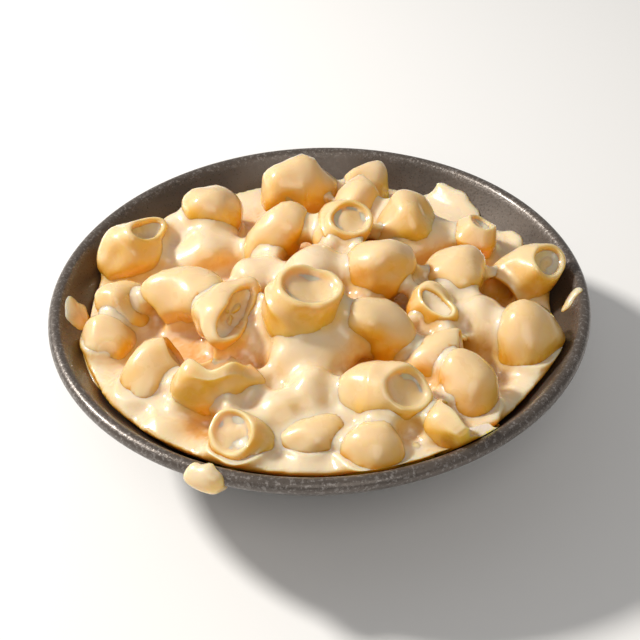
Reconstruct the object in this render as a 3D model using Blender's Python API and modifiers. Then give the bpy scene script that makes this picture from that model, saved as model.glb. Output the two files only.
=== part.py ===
# Macaroni in cheese sauce, in the shallow bowl that it is served in.
# Metres, +Z up. The origin is under the middle of the foot ring, on the plane that the bowl stands on.

import math

import bmesh
import bpy
from mathutils import Matrix, Vector

MM = 0.001
FIT_GAP = 0.3 * MM  # left between pieces that touch

# The bowl: a turned coupe bowl on a foot ring, with a rounded lip
LIP_RADIUS = 82.7 * MM  # to the middle of the wall at the lip
LIP_HEIGHT = 42.0 * MM  # to the middle of the lip's rounding
WALL_THICKNESS = 4.0 * MM
LIP_THICKNESS = 4.6 * MM
BASE_RADIUS = 36.0 * MM  # where the wall starts to rise
BASE_HEIGHT = 5.5 * MM  # the middle of the floor's thickness
WALL_CURVE = 1.62  # the power that the wall rises with
WALL_STATIONS = 8
LIP_STATIONS = 4
ROOM_STATIONS = 16  # of the space inside the wall
FOOT_RADIUS = 38.0 * MM
FOOT_WIDTH = 4.0 * MM
FOOT_RECESS = 1.6 * MM
TURN_STEPS = 48

# The sauce that fills the bowl up to its level
SAUCE_DEPTH_BELOW_LIP = 5.5 * MM
SAUCE_LEVEL = LIP_HEIGHT - SAUCE_DEPTH_BELOW_LIP

# The kinds of macaroni: short wide pipes with an open mouth, which bend and close to a round tail.
# Straight run, bend radius, last run (mm), bend (degrees), belly radius (mm), width beside height and the radius of
# the mouth's opening (mm)
KINDS = {
    "egg": (6.0, 12.0, 0.5, 60, 10.2, 0.95, 0),
    "curl": (2.5, 11.0, 3.5, 65, 9.8, 0.95, 4.6),
    "bean": (4.0, 10.0, 2.0, 105, 8.8, 0.95, 0),
    "ring": (2.5, 11.0, 3.5, 65, 10.2, 0.95, 5.6),
    "lobes": (2.5, 11.0, 7.0, 75, 9.6, 0.95, 5.2),
    "cup": (2.5, 11.0, 0.5, 65, 9.2, 0.95, 4.6),
    "slit": (2.5, 12.0, 1.0, 45, 11.0, 0.62, 5.6),
    "arch": (3.0, 11.0, 3.5, 80, 9.6, 0.95, 5.0),
    "scoop": (3.0, 12.0, 1.0, 50, 10.8, 1.32, 9.0),
    "leaf": (5.0, 12.0, 3.0, 55, 9.6, 0.66, 0),
    "tube": (5.0, 11.0, 4.0, 65, 9.6, 0.95, 5.0),
}
STATIONS = ((0.3, 0.85), (0.5, 1.0), (0.72, 0.88), (0.88, 0.6))  # share of the length, and of the belly radius
MOUTH_OUT = 2.5  # how far in front of the mouth the middle of its hollow is, in mm
MOUTH_MIN_RISE = 20  # only the mouths that face upwards this much are open in the heap

# Where the pieces lie: kind, place in mm, the way the mouth faces (heading and rise) and the turn about it, in
# degrees, and size
PIECES = [
    ("arch", -62, 25, 42, 355, 60, 240, 1.08),
    ("egg", -36, 42, 45, 0, -55, 335, 1),
    ("lobes", -7, 51, 48, 15, -55, 355, 1.06),
    ("bean", -13, 26, 46, 280, -70, 115, 1.05),
    ("ring", 8, 22, 49, 305, 65, 255, 0.98),
    ("bean", 13, 38, 48, 35, 10, 335, 0.85),
    ("leaf", 17, 58, 44, 25, -10, 310, 0.85),
    ("curl", 31, 30, 46, 225, -40, 230, 1.15),
    ("egg", 20, -1, 52, 170, -35, 50, 1.05),
    ("egg", 44, 1, 46, 165, -50, 10, 1.05),
    ("egg", 52, 26, 40, 20, 70, 240, 0.85),
    ("tube", 66, 6, 41, 320, 50, 270, 0.98),
    ("cup", 35, -16, 45, 280, 70, 30, 0.95),
    ("bean", 18, -28, 49, 285, -60, 265, 1),
    ("leaf", 65, -27, 38, 305, -70, 275, 1.45),
    ("egg", 49, -18, 41, 240, -85, 60, 0.9),
    ("leaf", 32, -36, 43, 350, 20, 300, 0.95),
    ("bean", 41, -49, 42, 215, -35, 225, 1.05),
    ("lobes", 16, -52, 45, 310, 55, 225, 1.05),
    ("scoop", 39, -65, 40, 45, 55, 225, 0.95),
    ("egg", 14, -69, 39, 205, -60, 30, 1),
    ("egg", 25, -70, 34, 205, -60, 30, 0.8),
    ("egg", 22, -64, 34, 330, -65, 150, 0.9),
    ("ring", -22, -62, 38, 235, 60, 50, 0.92),
    ("scoop", -30, -46, 45, 85, 50, 195, 0.98),
    ("bean", -51, -36, 39, 15, 25, 300, 1.06),
    ("egg", -66, -16, 37, 350, -60, 320, 0.95),
    ("leaf", -61, -2, 42, 350, -40, 285, 0.95),
    ("bean", -40, -5, 46, 195, -35, 55, 1.1),
    ("slit", -30, -19, 50, 335, 35, 275, 1.2),
    ("ring", -5, -23, 52, 330, 80, 225, 1.28),
    ("egg", -2, 1, 48, 30, -25, 325, 1),
    ("egg", -42, -50, 33, 240, -85, 60, 0.9),
    ("egg", -3, -62, 38, 200, -45, 25, 1),
    ("bean", -13, -55, 38, 350, -50, 170, 0.85),
    ("bean", -3, -34, 43, 5, -20, 320, 1.15),
    ("egg", -2, -49, 41, 325, -70, 140, 0.95),
    ("bean", -38, 26, 37, 5, -20, 320, 1.05),
    ("egg", -47, 38, 39, 5, -20, 320, 0.75),
    ("bean", 33, 25, 41, 5, -20, 320, 0.95),
    ("egg", -19, 7, 41, 5, -20, 320, 0.95),
    ("egg", -17, -23, 41, 5, -20, 320, 1),
    ("egg", 9, -18, 42, 5, -20, 320, 0.9),
    ("egg", 27, -55, 37, 5, -20, 320, 0.9),
]

# The rest of the heap, under those pieces: a mound, most of it in the sauce
MOUND_RADIUS = 65.0 * MM
MOUND_TOP = 44.2 * MM
MOUND_BOTTOM = 12.0 * MM
SAUCE_UNDER_HEAP = 2.5 * MM
SAUCE_ROUND_HEAP = 1.6 * MM  # between the heap and the wall
WELL_GAP = 1.1 * MM  # round the heap, a little more than the fit gap because the lumps meet in sharp creases
HEAP_VOXEL = 2.5 * MM
HEAP_SMOOTHING = 3
HEAP_SWELL = 0.4 * MM
HEAP_FACE_SHARE = 0.11  # of the remeshed faces, those that are kept


def clear_scene():
    for old in list(bpy.data.objects):
        bpy.data.objects.remove(old)


def collection_named(name):
    made = bpy.data.collections.new(name)
    bpy.context.scene.collection.children.link(made)
    return made


def make_material(name, colour, roughness, metallic=0.0):
    made = bpy.data.materials.new(name)
    made.use_nodes = True
    shader = made.node_tree.nodes["Principled BSDF"]
    shader.inputs["Base Color"].default_value = (*colour, 1.0)
    shader.inputs["Roughness"].default_value = roughness
    shader.inputs["Metallic"].default_value = metallic
    return made


def new_object(name, mesh, collection, material=None):
    made = bpy.data.objects.new(name, mesh)
    collection.objects.link(made)
    if material:
        mesh.materials.append(material)
    return made


def hide_cutter(cutter):
    cutter.hide_render = True
    cutter.display_type = "WIRE"


def wall_point(rise, offset):
    """A point of the wall's section: rise runs from 0 at the floor to 1 at the lip, and offset is outwards from the
    wall's middle."""
    radius = BASE_RADIUS + (LIP_RADIUS - BASE_RADIUS) * rise
    height = BASE_HEIGHT + (LIP_HEIGHT - BASE_HEIGHT) * rise**WALL_CURVE
    slope = WALL_CURVE * (LIP_HEIGHT - BASE_HEIGHT) / (LIP_RADIUS - BASE_RADIUS) * rise ** (WALL_CURVE - 1)
    length = math.hypot(1, slope)
    return Vector((radius + offset * slope / length, 0, height - offset / length))


def wall_run(offset, stations):
    """The wall's points at one offset, from the floor up to the lip."""
    return [wall_point(i / stations, offset) for i in range(stations + 1)]


def half_thickness(rise):
    """Half of the wall's thickness, which grows into the lip's bead over its last part."""
    bead_start = 0.85
    swell = max(0.0, (rise - bead_start) / (1 - bead_start))
    return (WALL_THICKNESS + (LIP_THICKNESS - WALL_THICKNESS) * swell) / 2


def bowl_section():
    """The bowl's closed section, from the axis inside, over the lip and down to the axis underneath."""
    rises = [i / WALL_STATIONS for i in range(WALL_STATIONS + 1)]
    inside = [wall_point(rise, -half_thickness(rise)) for rise in rises]
    outside = [wall_point(rise, half_thickness(rise)) for rise in rises]
    middle = wall_point(1, 0)
    across = inside[-1] - middle
    along = Vector((-across.z, 0, across.x)) * -1
    lip = []
    for i in range(1, LIP_STATIONS):
        turn = math.pi * i / LIP_STATIONS
        lip.append(middle + across * math.cos(turn) + along * math.sin(turn))
    foot_inside = FOOT_RADIUS - FOOT_WIDTH
    foot = [
        Vector((FOOT_RADIUS + 0.4 * MM, 0, outside[1].z - 0.6 * MM)),
        Vector((FOOT_RADIUS, 0, 0.8 * MM)),
        Vector((FOOT_RADIUS - 0.8 * MM, 0, 0)),
        Vector((foot_inside + 0.6 * MM, 0, 0)),
        Vector((foot_inside, 0, 0.6 * MM)),
        Vector((foot_inside - 0.6 * MM, 0, FOOT_RECESS)),
    ]
    axis_inside = Vector((0, 0, inside[0].z))
    axis_under = Vector((0, 0, FOOT_RECESS))
    return [axis_inside, *inside, *lip, *reversed(outside[1:]), *foot, axis_under]


def turned(name, section, collection, material=None):
    """An object that turns a section about the Z axis."""
    mesh = bpy.data.meshes.new(name)
    mesh.from_pydata(section, [(i, i + 1) for i in range(len(section) - 1)], [])
    made = new_object(name, mesh, collection, material)
    screw = made.modifiers.new("turn", "SCREW")
    screw.steps = screw.render_steps = TURN_STEPS
    screw.use_merge_vertices = True
    screw.merge_threshold = 0.01 * MM
    screw.use_smooth_shade = True
    return made


def room_section(top, bottom, gap):
    """The space inside the bowl between two heights, as a section from the axis above to the axis below."""
    run = wall_run(-(WALL_THICKNESS / 2 + gap), ROOM_STATIONS)
    inside = [point for point in run if bottom < point.z < top]
    low = wall_point(0, -(WALL_THICKNESS / 2 + gap))
    last = max(inside, key=lambda point: point.z)
    above = next((point for point in run if point.z >= top), None)
    if above is None:
        corner = Vector((last.x - FIT_GAP, 0, top))
    else:
        share = (top - last.z) / (above.z - last.z)
        corner = last.lerp(above, share)
    first = min(inside, key=lambda point: point.z)
    ends = [Vector((0, 0, max(low.z, bottom)))]
    if bottom > low.z:
        ends.insert(0, Vector((first.x - FIT_GAP, 0, bottom)))
    return [Vector((0, 0, top)), corner, *sorted(inside, key=lambda point: -point.z), *ends]


def bend_at(kind, along):
    """The middle of a pipe at a distance from its mouth, which faces +X at the origin."""
    run, bend_radius, _, bend_deg, _, _, _ = KINDS[kind]
    bent = min(max(0.0, along - run) / bend_radius, math.radians(bend_deg))
    straight = along - bent * bend_radius - min(along, run)
    across = -min(along, run) - bend_radius * math.sin(bent) - straight * math.cos(bent)
    down = -bend_radius * (1 - math.cos(bent)) - straight * math.sin(bent)
    return Vector((across, 0, down))


def pipe_stations(kind):
    """The middle and radius of each station along a piece about its own middle, and the middle of its mouth, in mm."""
    run, bend_radius, last_run, bend_deg, belly, _, _ = KINDS[kind]
    length = run + bend_radius * math.radians(bend_deg) + last_run
    stations = [(bend_at(kind, share * length), belly * size) for share, size in STATIONS]
    low = min(place.z - radius for place, radius in stations)
    high = max(place.z + radius for place, radius in stations)
    back = min(place.x - radius for place, radius in stations)
    middle = Vector((back / 2, 0, (low + high) / 2))
    return [(place - middle, radius) for place, radius in stations], -middle


def piece_matrix(x, y, z, heading, rise, turn, size):
    return (
        Matrix.Translation(Vector((x, y, z)) * MM)
        @ Matrix.Rotation(math.radians(heading), 4, "Z")
        @ Matrix.Rotation(math.radians(-rise), 4, "Y")
        @ Matrix.Rotation(math.radians(turn), 4, "X")
        @ Matrix.Scale(size, 4)
    )


def add_ball(shape, placed, kind, place, radius):
    """A ball of a piece, as wide as the piece is beside its height."""
    wide = Matrix.Diagonal((1, KINDS[kind][5], 1, 1))
    matrix = placed @ Matrix.Translation(place * MM) @ wide
    bmesh.ops.create_icosphere(shape, subdivisions=2, radius=radius * MM, matrix=matrix)


def make_heap_mass(name, collection, material):
    """The pieces and the mound below them as one lumpy mass."""
    shape = bmesh.new()
    for kind, *piece in PIECES:
        stations, _ = pipe_stations(kind)
        for place, radius in stations:
            add_ball(shape, piece_matrix(*piece), kind, place, radius)
    middle = Matrix.Translation((0, 0, (MOUND_TOP + MOUND_BOTTOM) / 2))
    flatten = Matrix.Diagonal((1, 1, (MOUND_TOP - MOUND_BOTTOM) / 2 / MOUND_RADIUS, 1))
    bmesh.ops.create_uvsphere(shape, u_segments=48, v_segments=24, radius=MOUND_RADIUS, matrix=middle @ flatten)
    mesh = bpy.data.meshes.new(name)
    shape.to_mesh(mesh)
    shape.free()
    mass = new_object(name, mesh, collection, material)
    remesh = mass.modifiers.new("fuse", "REMESH")
    remesh.mode = "VOXEL"
    remesh.voxel_size = HEAP_VOXEL
    soften = mass.modifiers.new("soften", "SMOOTH")
    soften.iterations = HEAP_SMOOTHING
    swell = mass.modifiers.new("swell", "DISPLACE")  # closes the narrow gaps that softening leaves
    swell.mid_level = 0
    swell.strength = HEAP_SWELL
    again = mass.modifiers.new("fuse_again", "REMESH")
    again.mode = "VOXEL"
    again.voxel_size = HEAP_VOXEL
    return mass


def make_mouths(name, collection):
    """The hollows of the mouths, as one cutter."""
    shape = bmesh.new()
    for kind, *piece in PIECES:
        opening = KINDS[kind][6]
        rise = piece[4]
        if not opening or rise < MOUTH_MIN_RISE:
            continue
        _, mouth = pipe_stations(kind)
        add_ball(shape, piece_matrix(*piece), kind, mouth + Vector((MOUTH_OUT, 0, 0)), opening)
    mesh = bpy.data.meshes.new(name)
    shape.to_mesh(mesh)
    shape.free()
    made = new_object(name, mesh, collection)
    hide_cutter(made)
    return made


def add_boolean(target, cutter, operation):
    boolean = target.modifiers.new(operation.lower(), "BOOLEAN")
    boolean.operation = operation
    boolean.object = cutter
    return boolean


def frozen(source, name, collection):
    """A plain mesh object of another object's finished shape."""
    bpy.context.view_layer.update()
    graph = bpy.context.evaluated_depsgraph_get()
    mesh = bpy.data.meshes.new_from_object(source.evaluated_get(graph))
    made = new_object(name, mesh, collection)
    made.matrix_world = source.matrix_world
    return made


def main():
    clear_scene()
    parts = collection_named("mac_and_cheese")
    cutters = collection_named("cutters")
    stoneware = make_material("stoneware", (0.10, 0.085, 0.075), 0.38, 0.35)
    sauce = make_material("sauce", (0.87, 0.66, 0.42), 0.28)
    pasta = make_material("pasta", (0.85, 0.58, 0.28), 0.3)

    turned("bowl", bowl_section(), parts, stoneware)

    floor = wall_point(0, -(WALL_THICKNESS / 2 + FIT_GAP)).z
    above_heap = LIP_HEIGHT + 40 * MM
    room = turned("heap_room", room_section(above_heap, floor + SAUCE_UNDER_HEAP, SAUCE_ROUND_HEAP), cutters)
    hide_cutter(room)

    heap = make_heap_mass("macaroni_heap", parts, pasta)
    add_boolean(heap, make_mouths("mouths", cutters), "DIFFERENCE")
    thin = heap.modifiers.new("thin", "DECIMATE")
    thin.ratio = HEAP_FACE_SHARE
    add_boolean(heap, room, "INTERSECT")

    well = frozen(heap, "heap_well", cutters)
    grow = well.modifiers.new("grow", "DISPLACE")
    grow.mid_level = 0
    grow.strength = WELL_GAP
    hide_cutter(well)

    pool = turned("cheese_sauce", room_section(SAUCE_LEVEL, floor - FIT_GAP, FIT_GAP), parts, sauce)
    add_boolean(pool, well, "DIFFERENCE")


main()
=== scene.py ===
# Looks of the dish of mac and cheese: a dark glazed bowl, its pool of cheese sauce and the heap of macaroni.
import math

import bpy
import numpy as np
from mathutils import Matrix, Vector, noise
from mathutils.bvhtree import BVHTree


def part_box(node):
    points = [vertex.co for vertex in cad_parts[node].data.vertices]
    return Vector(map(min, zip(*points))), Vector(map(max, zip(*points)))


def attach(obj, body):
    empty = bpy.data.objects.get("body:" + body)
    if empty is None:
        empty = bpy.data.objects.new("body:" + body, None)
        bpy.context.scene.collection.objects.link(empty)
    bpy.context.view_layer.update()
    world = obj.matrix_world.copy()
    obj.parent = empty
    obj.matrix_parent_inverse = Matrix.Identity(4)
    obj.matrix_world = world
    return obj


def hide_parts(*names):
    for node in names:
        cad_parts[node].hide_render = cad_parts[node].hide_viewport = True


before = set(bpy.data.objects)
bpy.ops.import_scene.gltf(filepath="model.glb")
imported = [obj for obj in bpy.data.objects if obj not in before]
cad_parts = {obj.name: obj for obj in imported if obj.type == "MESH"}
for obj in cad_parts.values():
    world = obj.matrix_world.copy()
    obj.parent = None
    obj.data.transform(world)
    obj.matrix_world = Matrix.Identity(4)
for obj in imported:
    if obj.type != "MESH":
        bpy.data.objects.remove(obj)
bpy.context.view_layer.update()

mm = 0.001
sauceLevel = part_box("cheese_sauce")[1].z


def deselectAll():
    if bpy.context.mode != "OBJECT":
        bpy.ops.object.mode_set(mode="OBJECT")
    bpy.ops.object.select_all(action="DESELECT")


def makeActive(thing):
    deselectAll()
    thing.select_set(True)
    bpy.context.view_layer.objects.active = thing


def addModifier(thing, kind, **settings):
    made = thing.modifiers.new(kind.lower(), kind)
    for name, value in settings.items():
        setattr(made, name, value)
    return made


def applyModifiers(thing):
    makeActive(thing)
    for modifier in list(thing.modifiers):
        bpy.ops.object.modifier_apply(modifier=modifier.name)


def joinInto(name, things):
    deselectAll()
    for thing in things:
        thing.select_set(True)
    bpy.context.view_layer.objects.active = things[0]
    bpy.ops.object.join()
    joined = bpy.context.view_layer.objects.active
    joined.name = name
    return joined


def copyOf(thing, name):
    made = thing.copy()
    made.data = thing.data.copy()
    made.name = name
    bpy.context.scene.collection.objects.link(made)
    return made


def moveMesh(thing, matrix):
    thing.data.transform(matrix)
    thing.data.update()


def vertexPlaces(thing):
    flat = np.empty(len(thing.data.vertices) * 3, np.float32)
    thing.data.vertices.foreach_get("co", flat)
    return flat.reshape(-1, 3).astype(float)


def vertexNormals(thing):
    flat = np.empty(len(thing.data.vertices) * 3, np.float32)
    thing.data.vertices.foreach_get("normal", flat)
    return flat.reshape(-1, 3).astype(float)


def setPlaces(thing, places):
    thing.data.vertices.foreach_set("co", places.astype(np.float32).ravel())
    thing.data.update()


def setAttribute(thing, name, values):
    layer = thing.data.attributes.get(name) or thing.data.attributes.new(name, "FLOAT", "POINT")
    layer.data.foreach_set("value", np.asarray(values, np.float32))


def smoothStep(low, high, value):
    share = np.clip((value - low) / (high - low), 0, 1)
    return share * share * (3 - 2 * share)


def shadeSmooth(thing):
    makeActive(thing)
    bpy.ops.object.shade_smooth()


def ripple(places, scale, seed):
    # slow waves, the same every time
    shift = Vector((seed, seed * 1.7, -seed))
    return np.array([noise.noise(Vector(place) / scale + shift) for place in places])


class Shade:
    def __init__(self, nodes, output):
        self.nodes, self.output = nodes, output

    def maths(self, operation, *values):
        return self.nodes.add("ShaderNodeMath", {"operation": operation}, *values)

    def __add__(self, other):
        return self.maths("ADD", self, other)

    def __radd__(self, other):
        return self.maths("ADD", other, self)

    def __sub__(self, other):
        return self.maths("SUBTRACT", self, other)

    def __rsub__(self, other):
        return self.maths("SUBTRACT", other, self)

    def __mul__(self, other):
        return self.maths("MULTIPLY", self, other)

    def __rmul__(self, other):
        return self.maths("MULTIPLY", other, self)


class Finish:
    def __init__(self, name, **constants):
        self.material = bpy.data.materials.new(name)
        self.material.use_nodes = True
        self.tree = self.material.node_tree
        self.shader = self.tree.nodes["Principled BSDF"]
        for socket, value in constants.items():
            self.shader.inputs[socket.replace("_", " ")].default_value = value

    def add(self, kind, settings, *values, take=0, **named):
        node = self.tree.nodes.new(kind)
        for name, value in settings.items():
            setattr(node, name, value)
        for key, value in [*enumerate(values), *named.items()]:
            socket = node.inputs[key if isinstance(key, int) else key.replace("_", " ")]
            if isinstance(value, Shade):
                self.tree.links.new(value.output, socket)
            else:
                socket.default_value = value
        return Shade(self, node.outputs[take])

    def place(self):
        return self.add("ShaderNodeTexCoord", {}, take=3)

    def noise(self, scale, detail, roughness, place):
        return self.add("ShaderNodeTexNoise", {}, Vector=place, Scale=scale, Detail=detail, Roughness=roughness)

    def attribute(self, name):
        return self.add("ShaderNodeAttribute", {"attribute_name": name}, take=2)

    def between(self, value, low, high, first=0.0, last=1.0):
        settings = {"interpolation_type": "SMOOTHSTEP"}
        return self.add("ShaderNodeMapRange", settings, value, low, high, first, last)

    def mix(self, share, first, last):
        node = self.tree.nodes.new("ShaderNodeMix")
        node.data_type = "RGBA"
        for index, value in ((0, share), (6, first), (7, last)):
            if isinstance(value, Shade):
                self.tree.links.new(value.output, node.inputs[index])
            else:
                node.inputs[index].default_value = value if index == 0 else (*value, 1)
        return Shade(self, node.outputs[2])

    def feed(self, socket, value):
        self.tree.links.new(value.output, self.shader.inputs[socket])

    def bump(self, height, strength, distance):
        return self.add("ShaderNodeBump", {}, Height=height, Strength=strength, Distance=distance)


bowl = {
    "lipRadius": 82.7 * mm,  # to the middle of the wall
    "lipHeight": 42.0 * mm,
    "wall": 4.0 * mm,
    "lip": 4.6 * mm,
    "lipFrom": 0.85,  # share of the way up the wall where it starts to thicken
    "lipSteps": 12,
    "baseRadius": 36.0 * mm,
    "baseHeight": 5.5 * mm,
    "curve": 1.62,
    "footRadius": 38.0 * mm,
    "footWidth": 4.0 * mm,
    "recess": 1.6 * mm,
    "stations": 40,
    "steps": 160,
    "glaze": (0.075, 0.058, 0.046),
    "glazeLipSpeckle": (0.24, 0.215, 0.20),
    "glazePale": 1.35,  # times the glaze's colour, in its clouds
    "lipBandRadius": (79.5 * mm, 81.5 * mm),  # the lighter speckled band on the lip starts at the first and is full at the second
    "lipBandHeight": (38 * mm, 40 * mm),
}


def wallPoint(rise, offset):
    run = bowl["lipRadius"] - bowl["baseRadius"]
    climb = bowl["lipHeight"] - bowl["baseHeight"]
    slope = bowl["curve"] * climb / run * max(rise, 1e-6) ** (bowl["curve"] - 1)
    length = math.hypot(1, slope)
    radius = bowl["baseRadius"] + run * rise + offset * slope / length
    return radius, bowl["baseHeight"] + climb * rise ** bowl["curve"] - offset / length


def halfWall(rise):
    swell = max(0.0, (rise - bowl["lipFrom"]) / (1 - bowl["lipFrom"]))
    return (bowl["wall"] + (bowl["lip"] - bowl["wall"]) * swell) / 2


def bowlProfile():
    rises = [i / bowl["stations"] for i in range(bowl["stations"] + 1)]
    inside = [wallPoint(rise, -halfWall(rise)) for rise in rises]
    outside = [wallPoint(rise, halfWall(rise)) for rise in rises]
    middle = wallPoint(1, 0)
    across = (inside[-1][0] - middle[0], inside[-1][1] - middle[1])
    lip = []
    for i in range(1, bowl["lipSteps"]):
        turn = math.pi * i / bowl["lipSteps"]
        lip.append((middle[0] + across[0] * math.cos(turn) + across[1] * math.sin(turn),
                    middle[1] + across[1] * math.cos(turn) - across[0] * math.sin(turn)))
    wall = outside[2:]  # the first ones are inside the foot ring
    foot, inner = bowl["footRadius"], bowl["footRadius"] - bowl["footWidth"]
    # from the wall over the foot ring's rounded edges into its recess
    under = [(foot + 0.4 * mm, wall[0][1] - 0.6 * mm), (foot, 0.8 * mm), (foot - 0.3 * mm, 0.2 * mm),
             (foot - 0.8 * mm, 0), (inner + 0.6 * mm, 0), (inner + 0.1 * mm, 0.3 * mm),
             (inner - 0.6 * mm, bowl["recess"])]
    return [(0, inside[0][1]), *inside, *lip, *reversed(wall), *under, (0, bowl["recess"])]


def turnedMesh(name, profile, steps):
    deselectAll()
    bpy.ops.mesh.primitive_plane_add(size=1)  # its corners become the first of the profile's points
    thing = bpy.context.object
    thing.name = name
    bpy.ops.object.mode_set(mode="EDIT")
    bpy.ops.mesh.select_all(action="SELECT")
    bpy.ops.mesh.merge(type="CENTER")
    bpy.ops.transform.translate(value=(profile[0][0], 0, profile[0][1]))
    for first, last in zip(profile, profile[1:]):
        bpy.ops.mesh.extrude_vertices_move(
            TRANSFORM_OT_translate={"value": (last[0] - first[0], 0, last[1] - first[1])})
    bpy.ops.mesh.select_all(action="SELECT")
    bpy.ops.mesh.spin(steps=steps, angle=math.tau, center=(0, 0, 0), axis=(0, 0, 1))
    bpy.ops.mesh.select_all(action="SELECT")
    bpy.ops.mesh.remove_doubles(threshold=0.01 * mm)
    bpy.ops.mesh.normals_make_consistent(inside=False)
    bpy.ops.object.mode_set(mode="OBJECT")
    return thing


def glazeFinish():
    finish = Finish("dark glaze", Metallic=0.35, Coat_Weight=0.25, Coat_Roughness=0.18)
    place = finish.place()
    cloud = finish.noise(70, 4, 0.6, place)
    grain = finish.noise(1400, 2, 0.7, place)
    speck = finish.between(finish.noise(900, 3, 0.75, place), 0.52, 0.62)
    lip = finish.attribute("lip")
    # the glaze is lighter and speckled over the lip's top
    lipSpeckle = lip * (0.15 + 0.85 * speck)
    pale = tuple(part * bowl["glazePale"] for part in bowl["glaze"])
    tone = finish.mix(finish.between(cloud, 0.35, 0.7), bowl["glaze"], pale)
    finish.feed("Base Color", finish.mix(lipSpeckle, tone, bowl["glazeLipSpeckle"]))
    finish.feed("Roughness", finish.between(grain, 0.3, 0.7, 0.26, 0.46))
    finish.feed("Normal", finish.bump(grain * (0.3 + 2 * lip) + cloud * 0.5, 0.5, 0.12 * mm))
    return finish.material


def makeBowl():
    thing = turnedMesh("bowl_glazed", bowlProfile(), bowl["steps"])
    shadeSmooth(thing)
    places = vertexPlaces(thing)
    outward = smoothStep(*bowl["lipBandRadius"], np.hypot(places[:, 0], places[:, 1]))
    setAttribute(thing, "lip", outward * smoothStep(*bowl["lipBandHeight"], places[:, 2]))
    thing.data.materials.append(glazeFinish())
    print("bowl turned")
    return thing


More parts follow.
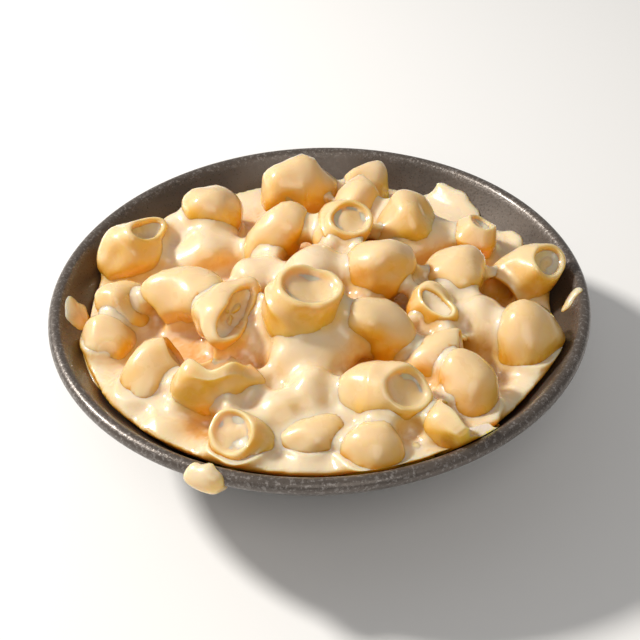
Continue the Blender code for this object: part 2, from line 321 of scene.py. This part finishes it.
macaroni = {
    "sides": 20,
    "rings": 9,
    "clear": 0.4 * mm,  # kept between the pasta and the wall
    "swells": (9 * mm, 1.9 * mm),  # size and height of the slow unevenness, then of the fine one
    "dents": (4 * mm, 0.45 * mm),
    # open: the opening's radius, dish: the hollow's depth, run, bendRadius and tail: the straight start, the bend
    # and the straight end (mm), bend (degrees), wide and slot: width of the piece and of its opening beside their
    # height, wave: how wavy the lip is, through: open at both ends,
    # marks: soft pushes at a place, as x, y, z, reach and how far out (mm)
    "plain": {"open": 4.6, "lip": 2.3, "dish": 1.8, "belly": 9.8, "run": 2.5, "bendRadius": 11.0, "tail": 3.5,
              "bend": 65, "wide": 0.95, "slot": 0.85, "wave": 0, "through": False, "marks": []},
    "kinds": {
        "egg": {"run": 6.0, "bendRadius": 12.0, "tail": 0.5, "bend": 60, "belly": 10.2},
        "curl": {"marks": [(-4, 5, 9, 4, 1.0), (-13, -4, 2, 4, -0.9)]},
        "bean": {"run": 4.0, "bendRadius": 10.0, "tail": 2.0, "bend": 105, "belly": 8.8,
                 "marks": [(-8, 7, 0, 4, -1.6), (-1, 4, 8, 4, 1.3)]},
        "ring": {"open": 6.2, "dish": 1.9, "lip": 2.2, "belly": 10.2,
                 "marks": [(-14, 6, -2, 4, 1.0), (-10, -8, 4, 3, -1.0)]},
        "lobes": {"open": 5.6, "dish": 1.8, "slot": 0.9, "lip": 2.2, "belly": 9.6, "tail": 7.0,
                  "bend": 75, "marks": [(-8, 0, 10, 3.5, -2.4), (-15, 2, 4, 5, 1.8), (-14, -8, -8, 3.5, -1.8)]},
        "cup": {"open": 6.0, "dish": 4.0, "slot": 0.45, "lip": 2.2, "belly": 9.2, "tail": 0.5,
                "marks": [(-1, 5, 6, 3.5, 1.2), (-3, -7, 0, 3.5, -1.4)]},
        "slit": {"open": 9.2, "dish": 3.0, "slot": 0.30, "lip": 2.0, "belly": 11.0, "bendRadius": 12.0, "tail": 1.0,
                 "bend": 45, "wide": 0.62, "wave": 0.5, "marks": [(-1, 0, 11, 4, 1.8), (-8, 5, 2, 3, -0.7)]},
        "arch": {"open": 6.6, "dish": 4.0, "slot": 0.45, "lip": 2.4, "belly": 9.6, "run": 3.0, "bend": 80,
                 "marks": [(-12, 0, -6, 4, 1.6), (-7, 5, 6, 3, -1.2)]},
        "scoop": {"open": 9.0, "dish": 5.0, "slot": 1.0, "lip": 1.7, "belly": 10.8, "run": 3.0, "bendRadius": 12.0,
                  "tail": 1.0, "bend": 50, "wide": 1.32, "wave": 1.0,
                  "marks": [(-6, 10, 3, 4, -1.2), (-7, -6, 9, 4, 0.9)]},
        "leaf": {"open": 7.5, "dish": 3.5, "slot": 0.3, "lip": 1.8, "belly": 9.6, "run": 5.0, "bendRadius": 12.0,
                 "tail": 3.0, "bend": 55, "wide": 0.66, "marks": [(-16, 0, -2, 5, 1.8), (-6, 6, 4, 4, -0.8)]},
        "tube": {"open": 5.6, "dish": 3.0, "slot": 0.8, "lip": 2.6, "belly": 9.6, "run": 5.0,
                 "tail": 4.0, "through": True, "marks": [(-9, 5, 7, 4, 1.0)]},
    },
    # kind, place (mm), where the mouth faces (heading, rise), turn about that, size
    "places": [
        ("arch", -62, 25, 42, 355, 60, 240, 1.08),
        ("egg", -36, 42, 45, 0, -55, 335, 1),
        ("lobes", -7, 51, 48, 15, -55, 355, 1.06),
        ("bean", -13, 26, 46, 280, -70, 115, 1.05),
        ("ring", 8, 22, 49, 305, 65, 255, 0.98),
        ("bean", 13, 38, 48, 35, 10, 335, 0.85),
        ("leaf", 17, 58, 44, 25, -10, 310, 0.85),
        ("curl", 31, 30, 46, 225, -40, 230, 1.15),
        ("egg", 20, -1, 52, 170, -35, 50, 1.05),
        ("egg", 44, 1, 46, 165, -50, 10, 1.05),
        ("egg", 52, 26, 40, 20, 70, 240, 0.85),
        ("tube", 66, 6, 41, 320, 50, 270, 0.98),
        ("cup", 35, -16, 45, 280, 70, 30, 0.95),
        ("bean", 18, -28, 49, 285, -60, 265, 1),
        ("leaf", 65, -27, 38, 305, -70, 275, 1.45),
        ("egg", 49, -18, 41, 240, -85, 60, 0.9),
        ("leaf", 32, -36, 43, 350, 20, 300, 0.95),
        ("bean", 41, -49, 42, 215, -35, 225, 1.05),
        ("lobes", 16, -52, 45, 310, 55, 225, 1.05),
        ("scoop", 39, -65, 40, 45, 55, 225, 0.95),
        ("egg", 14, -69, 39, 205, -60, 30, 1),
        ("egg", 25, -70, 34, 205, -60, 30, 0.8),
        ("egg", 22, -64, 34, 330, -65, 150, 0.9),
        ("ring", -22, -62, 38, 235, 60, 50, 0.92),
        ("scoop", -30, -46, 45, 85, 50, 195, 0.98),
        ("bean", -51, -36, 39, 15, 25, 300, 1.06),
        ("egg", -66, -16, 37, 350, -60, 320, 0.95),
        ("leaf", -61, -2, 42, 350, -40, 285, 0.95),
        ("bean", -40, -5, 46, 195, -35, 55, 1.1),
        ("slit", -30, -19, 50, 335, 35, 275, 1.2),
        ("ring", -5, -23, 52, 330, 80, 225, 1.28),
        ("egg", -2, 1, 48, 30, -25, 325, 1),
        ("egg", -42, -50, 33, 240, -85, 60, 0.9),
        ("egg", -3, -62, 38, 200, -45, 25, 1),
        ("bean", -13, -55, 38, 350, -50, 170, 0.85),
        ("bean", -3, -34, 43, 5, -20, 320, 1.15),
        ("egg", -2, -49, 41, 325, -70, 140, 0.95),
        ("bean", -38, 26, 37, 5, -20, 320, 1.05),
        ("egg", -47, 38, 39, 5, -20, 320, 0.75),
        ("bean", 33, 25, 41, 5, -20, 320, 0.95),
        ("egg", -19, 7, 41, 5, -20, 320, 0.95),
        ("egg", -17, -23, 41, 5, -20, 320, 1),
        ("egg", 9, -18, 42, 5, -20, 320, 0.9),
        ("egg", 27, -55, 37, 5, -20, 320, 0.9),
    ],
    "coated": (15, 31, 32, 34, 35, 36, 37, 38, 39, 40, 41, 42, 43),  # the pieces that the sauce hides
    # cream for what faces up and towards the key lamp, golden for the sides and underneath: partly the thin sauce
    # there, partly painted light and shade from the lamp's side
    "cream": (0.88, 0.65, 0.375),
    "golden": (0.86, 0.49, 0.05),
    # painted shade, put into covered crevices
    "amberCreviceShade": (0.76, 0.31, 0.003),
}


def bendAt(kind, along):
    # where the middle of the pipe has come to, and how far it has turned
    bent = min(max(0.0, along - kind["run"]) / kind["bendRadius"], math.radians(kind["bend"]))
    straight = along - bent * kind["bendRadius"] - min(along, kind["run"])
    x = -min(along, kind["run"]) - kind["bendRadius"] * math.sin(bent) - straight * math.cos(bent)
    z = -kind["bendRadius"] * (1 - math.cos(bent)) - straight * math.sin(bent)
    return x, z, bent


def hollowRings(kind, deep):
    # from the middle of the hollow up its side and over the lip
    across, lip = kind["open"], kind["lip"]
    outline = [(deep, -0.75 * across), (deep, -0.35 * across), (deep * 0.8, -0.1 * across), (deep * 0.4, 0),
               (lip * 0.1, 0.2 * lip), (0, 0.55 * lip), (lip * 0.25, 0.9 * lip)]
    return [(along, across + out, across * kind["slot"] + out * (kind["slot"] if out < 0 else 1))
            for along, out in outline]


def pipeRings(kind):
    length = kind["run"] + kind["bendRadius"] * math.radians(kind["bend"]) + kind["tail"]
    rings = hollowRings(kind, kind["dish"])
    first, firstWide, belly = rings[-1][1], rings[-1][2], kind["belly"]
    start = kind["lip"] * 0.25
    closing = 0.55 if kind["through"] else 1.0  # how far the tail draws together
    for i in range(1, macaroni["rings"] + 1):
        share = math.sin(i / macaroni["rings"] * math.pi / 2)  # closer together towards the tail
        rise = math.sin(min(1, share / 0.4) * math.pi / 2)
        tail = max(0.0, 1 - (closing * max(0, share - 0.45) / 0.55) ** 2.4) ** 0.5
        high = (first + (belly - first) * rise) * max(tail, 0.1)
        wide = (firstWide + (belly * kind["wide"] - firstWide) * rise) * max(tail, 0.1)
        rings.append((start + share * (length - start), high, wide))
    if kind["through"]:
        narrow = rings[-1][1] - 0.9 * kind["lip"]
        rings += [(length + 0.4, narrow + 0.4 * kind["lip"], narrow + 0.4 * kind["lip"]),
                  (length - 0.5, narrow, narrow), (length - 4, narrow * 0.9, narrow * 0.9),
                  (length - 7, narrow * 0.6, narrow * 0.6), (length - 7, narrow * 0.2, narrow * 0.2)]
    return rings


def modelPiece(name, kind):
    rings = []
    for along, high, wide in pipeRings(kind):
        x, z, bent = bendAt(kind, along)
        rings.append((x, z, bent, high, wide))
    deselectAll()
    bpy.ops.mesh.primitive_circle_add(vertices=macaroni["sides"], radius=mm,
                                      rotation=(0, math.pi / 2 - rings[0][2], 0))
    thing = bpy.context.object
    thing.name = name
    bpy.ops.object.transform_apply(location=True, rotation=True, scale=True)
    bpy.ops.object.mode_set(mode="EDIT")
    bpy.ops.mesh.select_all(action="SELECT")
    bpy.ops.transform.translate(value=(rings[0][0] * mm, 0, rings[0][1] * mm))
    last = (*rings[0][:3], 1, 1)
    for ring in rings:
        x, z, turned, high, wide = ring
        here = (x * mm, 0, z * mm)
        if ring is not rings[0]:
            bpy.ops.mesh.extrude_region_move(
                TRANSFORM_OT_translate={"value": ((x - last[0]) * mm, 0, (z - last[1]) * mm)})
            bpy.ops.transform.rotate(value=turned - last[2], orient_axis="Y", center_override=here)
        bpy.ops.transform.resize(value=(high / last[3], wide / last[4], high / last[3]), center_override=here)
        last = ring
    bpy.ops.mesh.select_all(action="SELECT")
    bpy.ops.mesh.fill_holes(sides=0)
    bpy.ops.mesh.normals_make_consistent(inside=False)
    bpy.ops.object.mode_set(mode="OBJECT")
    addModifier(thing, "SUBSURF", levels=1, render_levels=1)
    applyModifiers(thing)
    places = vertexPlaces(thing)
    turn = np.arctan2(places[:, 1], places[:, 2])
    near = smoothStep(-8 * mm, -1 * mm, places[:, 0])
    places[:, 0] += near * kind["wave"] * mm * (np.sin(3 * turn + 0.7) + 0.6 * np.sin(5 * turn))
    pushed = np.zeros(len(places))
    for x, y, z, reach, out in kind["marks"]:
        apart = np.linalg.norm(places / mm - np.array((x, y, z)), axis=1)
        pushed += out * np.exp(-(apart / reach) ** 2)
    places += vertexNormals(thing) * pushed[:, None] * mm
    setPlaces(thing, places)
    moveMesh(thing, Matrix.Translation(-Vector((places.max(0) + places.min(0)) / 2)))
    return thing


def modelMacaroni():
    return {name: modelPiece("piece_" + name, {**macaroni["plain"], **kind})
            for name, kind in macaroni["kinds"].items()}


def placeMatrix(x, y, z, heading, rise, turn, size):
    return (Matrix.Translation(Vector((x, y, z)) * mm)
            @ Matrix.Rotation(math.radians(heading), 4, "Z")
            @ Matrix.Rotation(math.radians(-rise), 4, "Y")
            @ Matrix.Rotation(math.radians(turn), 4, "X")
            @ Matrix.Scale(size, 4))


def pressInside(thing):
    # what would reach into the wall lies flat against it
    places = vertexPlaces(thing)
    radius = np.hypot(places[:, 0], places[:, 1])
    rises = [i / 60 for i in range(61)]
    inner = [wallPoint(rise, -halfWall(rise) - macaroni["clear"]) for rise in rises]
    room = np.interp(places[:, 2], [point[1] for point in inner], [point[0] for point in inner])
    share = np.minimum(1, room / radius)
    places[:, :2] *= share[:, None]
    places[:, 2] = np.maximum(places[:, 2], inner[0][1])
    setPlaces(thing, places)


def layMacaroni():
    models = modelMacaroni()
    laid = []
    (swell, high), (dent, low) = macaroni["swells"], macaroni["dents"]
    for number, (kind, *place) in enumerate(macaroni["places"]):
        piece = copyOf(models[kind], "macaroni_%02d" % number)
        places = vertexPlaces(piece)
        soft = ripple(places, swell, number * 3.1) * high + ripple(places, dent, number) * low
        # both sides of the lip move together, along the line from the piece's middle
        away = places / np.linalg.norm(places, axis=1)[:, None]
        setPlaces(piece, places + away * soft[:, None])
        moveMesh(piece, placeMatrix(*place))
        pressInside(piece)
        laid.append(piece)
    for model in models.values():
        bpy.data.objects.remove(model)
    print("macaroni laid:", len(laid))
    return laid


coat = {
    "scatter": (1.0, 0.72, 0.28),
    "scatterReach": 4 * mm,
    "faces": (-0.3, 0.05, 0.95),  # the way that its thickest part faces, tilted towards the key lamp, so that the side the lamp falls on is painted lighter (painted light)
    "rays": 16,
    "quickRays": 8,
    "near": 14 * mm,  # what is further off doesn't count as a cover
    "lift": 0.25 * mm,
    "buried": 3 * mm,  # deeper than this under the sauce nothing is worked out
    "buriedOpenness": 0.5,
}


def coatedFinish(name, cream, golden, amberCreviceShade):
    # the sauce lies thick on what faces up, and the pasta shows golden through it on the sides and underneath; the
    # side turned towards the key lamp is painted lighter as well (painted light), and the side turned away from it
    # more golden (painted shade)
    finish = Finish(name, Subsurface_Weight=0.8, Subsurface_Radius=coat["scatter"],
                    Subsurface_Scale=coat["scatterReach"], IOR=1.42, Coat_Weight=0.8, Coat_Roughness=0.08,
                    Coat_IOR=1.45)
    place = finish.place()
    cloud = finish.noise(90, 3, 0.55, place)
    patch = finish.noise(45, 2, 0.5, place)
    filmAndLitSide = finish.between(finish.attribute("filmAndLitSide") + (cloud - 0.5) * 0.4 + (patch - 0.5) * 0.4, 0.45, 0.98)
    tint = finish.mix(filmAndLitSide, golden, cream)
    # painted shade: places that the rays find covered take the amber colour
    finish.feed("Base Color", finish.mix(finish.between(finish.attribute("open"), 0.12, 0.85), amberCreviceShade, tint))
    finish.feed("Roughness", finish.between(cloud, 0.3, 0.7, 0.22, 0.38))
    lumps = finish.noise(220, 3, 0.5, place)
    finish.feed("Normal", finish.bump(lumps, 0.25, 0.4 * mm))
    return finish.material


def directions(count):
    # spread evenly over the half of a ball that faces +Z
    found = []
    for i in range(count):
        rise = math.sqrt(1 - (i + 0.5) / count)
        turn = i * math.pi * (3 - math.sqrt(5))
        out = math.sqrt(1 - rise * rise)
        found.append(Vector((out * math.cos(turn), out * math.sin(turn), rise)))
    return found


def treeOf(things):
    places, faces = [], []
    for thing in things:
        start = len(places)
        places += [vertex.co.copy() for vertex in thing.data.vertices]
        faces += [[start + i for i in face.vertices] for face in thing.data.polygons]
    return BVHTree.FromPolygons(places, faces)


def openness(thing, tree):
    # the share of the rays from each point that meet nothing near; low shares get the amber colour as painted shade
    # in crevices
    rays = directions(coat["rays"])
    shares = []
    for place, normal in zip(vertexPlaces(thing), vertexNormals(thing)):
        if place[2] < sauceLevel - coat["buried"]:
            shares.append(coat["buriedOpenness"])
            continue
        normal = Vector(normal)
        turn = normal.to_track_quat("Z", "Y")
        start = Vector(place) + normal * coat["lift"]
        clear = sum(tree.ray_cast(start, turn @ ray, coat["near"])[0] is None for ray in rays)
        shares.append(clear / len(rays))
    return np.array(shares)


def setCoat(thing, tree):
    # painted light: normals turned towards the key lamp's side get a higher film value, and so the lighter cream
    facing = vertexNormals(thing) @ np.array(coat["faces"])
    setAttribute(thing, "filmAndLitSide", 0.5 + 0.5 * facing)
    setAttribute(thing, "open", openness(thing, tree))


sauce = {
    "voxel": 0.95 * mm,
    "fill": 2.2 * mm,  # radius of the fillets that it leaves between pieces
    "below": 0.35 * mm,  # how far the bare macaroni stands out of it
    "smoothing": 3,
    "gap": 0.15 * mm,  # between the pool and the wall
    "rise": 3.8 * mm,  # how much higher it stands against the wall at the front
    "spread": 2.6 * mm,  # how far it is drawn out to the wall there
    "riseRadius": (62 * mm, 75 * mm),  # the rise starts at the first and is full at the second
    "riseFront": (-5 * mm, -45 * mm),
    "riseBelow": (-4 * mm, 0),  # and in height, from its level
    "riseAbove": (6 * mm, 2 * mm),
    "spreadRadius": (70 * mm, 73 * mm),
    "wave": 0.9 * mm,  # height of the pool's slow waves
    "waveSize": 14 * mm,
    "waveDepth": (3 * mm, 1 * mm),  # they are only this near its level
    "over": 0.9 * mm,  # how thick it lies on the pieces that it hides
    # cream for what faces up and towards the key lamp, golden for the sides and underneath: partly the thin sauce
    # there, partly painted light and shade from the lamp's side
    "cream": (0.88, 0.715, 0.50),
    "golden": (0.87, 0.58, 0.20),
    # painted shade, put into covered crevices
    "amberCreviceShade": (0.72, 0.34, 0.03),
    # on the bowl: azimuth (degrees), way over the lip from its top, width, length, thickness (mm) and lean;
    # the first ones climb the wall out of the pool
    "climbs": [
        (49, -12.0, 25, 13, 2.6, 0.3),
        (26, -12.0, 14, 8, 2.2, 0.0),
    ],
    "smears": [
        (182, -8.5, 15, 11, 0.9, 0.1),
        (197, -12.5, 30, 5, 0.7, 0.1),
        (355, -4.5, 6, 7, 0.8, 0.5),
        (248, 6, 11.5, 15, 2.6, 0.0),
    ],
}


def sauceProfile():
    rises = [i / bowl["stations"] for i in range(bowl["stations"] + 1)]
    points = [wallPoint(rise, -halfWall(rise) - sauce["gap"]) for rise in rises]
    inside = [point for point in points if point[1] < sauceLevel]
    over = points[len(inside)]
    last = inside[-1]
    share = (sauceLevel - last[1]) / (over[1] - last[1])
    edge = (last[0] + (over[0] - last[0]) * share, sauceLevel)
    return [(0, sauceLevel), edge, *reversed(inside), (0, inside[0][1])]


def remesh(thing, voxel):
    addModifier(thing, "REMESH", mode="VOXEL", voxel_size=voxel)
    applyModifiers(thing)


def grow(thing, distance):
    addModifier(thing, "DISPLACE", strength=distance, mid_level=0)
    applyModifiers(thing)


def overLip():
    # the bowl's surface from inside, over the lip and down the outside, and the way along it from the lip's top
    footPoints = 9
    path = np.array(bowlProfile()[1:-footPoints])
    way = np.concatenate([[0], np.cumsum(np.linalg.norm(np.diff(path, axis=0), axis=1))])
    return path, way - way[path[:, 1].argmax()]


def makeSmear(number, azimuth, way, wide, long, thick, lean):
    # a flat ball laid along the bowl's surface
    deselectAll()
    bpy.ops.mesh.primitive_uv_sphere_add(segments=40, ring_count=20, radius=1)
    thing = bpy.context.object
    thing.name = "smear"
    places = vertexPlaces(thing)
    path, ways = overLip()
    uneven = 1 + 0.35 * ripple(places * (1, 1, 0), 0.7, number + 0.5)
    across = places[:, 0] * uneven * wide / 2 * mm
    along = (way + (places[:, 1] * uneven + lean * places[:, 0]) * long / 2) * mm
    out = (places[:, 2] * thick * (0.8 + 0.4 * uneven) + 0.05) * mm
    slope = np.gradient(path, axis=0)
    slope /= np.linalg.norm(slope, axis=1)[:, None]
    radius, height = np.interp(along, ways, path[:, 0]), np.interp(along, ways, path[:, 1])
    radius -= np.interp(along, ways, slope[:, 1]) * out
    height += np.interp(along, ways, slope[:, 0]) * out
    turn = math.radians(azimuth) + across / bowl["lipRadius"]
    setPlaces(thing, np.stack([radius * np.cos(turn), radius * np.sin(turn), height], 1))
    makeActive(thing)
    bpy.ops.object.mode_set(mode="EDIT")
    bpy.ops.mesh.select_all(action="SELECT")
    bpy.ops.mesh.normals_make_consistent(inside=False)
    bpy.ops.object.mode_set(mode="OBJECT")
    return thing


def makeSauce(pieces):
    pool = turnedMesh("pool", sauceProfile(), 96)
    lumps = []
    for number, piece in enumerate(pieces):
        lump = copyOf(piece, "lump")
        if number in macaroni["coated"]:
            grow(lump, sauce["over"])
            pressInside(lump)
        lumps.append(lump)
    climbs = [makeSmear(number + 0.3, *smear) for number, smear in enumerate(sauce["climbs"])]
    skin = joinInto("cheese_sauce_skin", [pool] + climbs + lumps)
    remesh(skin, sauce["voxel"])
    grow(skin, sauce["fill"])
    remesh(skin, sauce["voxel"])
    grow(skin, -sauce["fill"] - sauce["below"])
    remesh(skin, sauce["voxel"])
    addModifier(skin, "SMOOTH", iterations=sauce["smoothing"])
    applyModifiers(skin)
    places = vertexPlaces(skin)
    level = smoothStep(*sauce["waveDepth"], np.abs(places[:, 2] - sauceLevel))
    places[:, 2] += level * ripple(places, sauce["waveSize"], 5.0) * sauce["wave"]
    radius = np.hypot(places[:, 0], places[:, 1])
    front = smoothStep(*sauce["riseRadius"], radius) * smoothStep(*sauce["riseFront"], places[:, 1])
    (low, lowFull), (high, highFull) = sauce["riseBelow"], sauce["riseAbove"]
    upper = (smoothStep(sauceLevel + low, sauceLevel + lowFull, places[:, 2])
             * smoothStep(sauceLevel + high, sauceLevel + highFull, places[:, 2]))
    places[:, 2] += front * upper * sauce["rise"]
    outer = smoothStep(*sauce["spreadRadius"], radius) * front * upper
    places[:, :2] *= (1 + outer * sauce["spread"] / radius)[:, None]
    setPlaces(skin, places)
    smears = [makeSmear(number, *smear) for number, smear in enumerate(sauce["smears"])]
    skin = joinInto("cheese_sauce_skin", [skin] + smears)
    shadeSmooth(skin)
    print("sauce poured:", len(skin.data.polygons), "faces")
    return skin


studio = {
    "lens": 70,
    "elevation": 39.58,
    "distance": 381.6 * mm,
    "target": (0.17 * mm, -15.74 * mm, 44 * mm),
    "roll": -1.93,
    # place, size, power and colour; they aim at the middle of the dish
    "lamps": {
        "key": ((-0.66, 0.24, 0.68), 0.13, 10.4, (1, 0.96, 0.90)),
        "soft": ((0.1, -0.9, 0.9), 0.9, 3.8, (1, 0.95, 0.88)),
    },
    "aim": (0, 0, 40 * mm),
    "sky": 0.25,
    "floorSize": 6,
    "floorHeight": -0.2 * mm,
    "floorColour": (0.9, 0.9, 0.9, 1),
}


def setCamera():
    rise = math.radians(studio["elevation"])
    roll = math.radians(studio["roll"])
    back = Vector((0, -math.cos(rise), math.sin(rise)))
    right, up = Vector((1, 0, 0)), Vector((0, math.sin(rise), math.cos(rise)))
    across = right * math.cos(roll) + up * math.sin(roll)
    upright = up * math.cos(roll) - right * math.sin(roll)
    data = bpy.data.cameras.new("camera")
    data.lens = studio["lens"]
    camera = bpy.data.objects.new("camera", data)
    bpy.context.scene.collection.objects.link(camera)
    place = Vector(studio["target"]) + back * studio["distance"]
    matrix = Matrix((across, upright, back)).transposed().to_4x4()
    camera.matrix_world = Matrix.Translation(place) @ matrix
    bpy.context.scene.camera = camera


def addLamp(name, place, size, power, colour):
    data = bpy.data.lights.new(name, "AREA")
    data.shape = "DISK"
    data.size = size
    data.energy = power
    data.color = colour
    lamp = bpy.data.objects.new(name, data)
    bpy.context.scene.collection.objects.link(lamp)
    lamp.location = place
    aim = Vector(studio["aim"]) - Vector(place)
    lamp.rotation_euler = aim.to_track_quat("-Z", "Y").to_euler()


def setLights():
    for name, lamp in studio["lamps"].items():
        addLamp(name, *lamp)
    world = bpy.data.worlds.new("studio")
    bpy.context.scene.world = world
    world.use_nodes = True
    background = world.node_tree.nodes["Background"]
    background.inputs["Color"].default_value = (1, 1, 1, 1)
    background.inputs["Strength"].default_value = studio["sky"]


def makeFloor():
    deselectAll()
    bpy.ops.mesh.primitive_plane_add(size=studio["floorSize"], location=(0, 0, studio["floorHeight"]))
    floor = bpy.context.object
    floor.name = "floor"
    finish = Finish("pale floor", Roughness=0.9, Base_Color=studio["floorColour"])
    floor.data.materials.append(finish.material)


def main():
    setCamera()
    setLights()
    makeFloor()
    print("studio set")
    bowlPiece = makeBowl()
    laid = layMacaroni()
    skin = makeSauce(laid)
    pasta = joinInto("macaroni", laid)
    shadeSmooth(pasta)
    tree = treeOf([pasta, skin, bowlPiece])
    for piece, name, tints in ((pasta, "coated macaroni", macaroni), (skin, "cheese sauce", sauce)):
        setCoat(piece, tree)
        piece.data.materials.clear()
        piece.data.materials.append(coatedFinish(name, tints["cream"], tints["golden"], tints["amberCreviceShade"]))
    print("coat worked out")
    for piece, slot, node in ((bowlPiece, "bowl", "bowl"), (pasta, "macaroni", "macaroni_heap"),
                              (skin, "cheese_sauce", "cheese_sauce")):
        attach(piece, "root")
        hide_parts(node)
    print("triangles:", {piece.name: sum(len(face.vertices) - 2 for face in piece.data.polygons)
                         for piece in (bowlPiece, pasta, skin)})


bpy.context.scene.view_settings.view_transform = "Standard"
main()
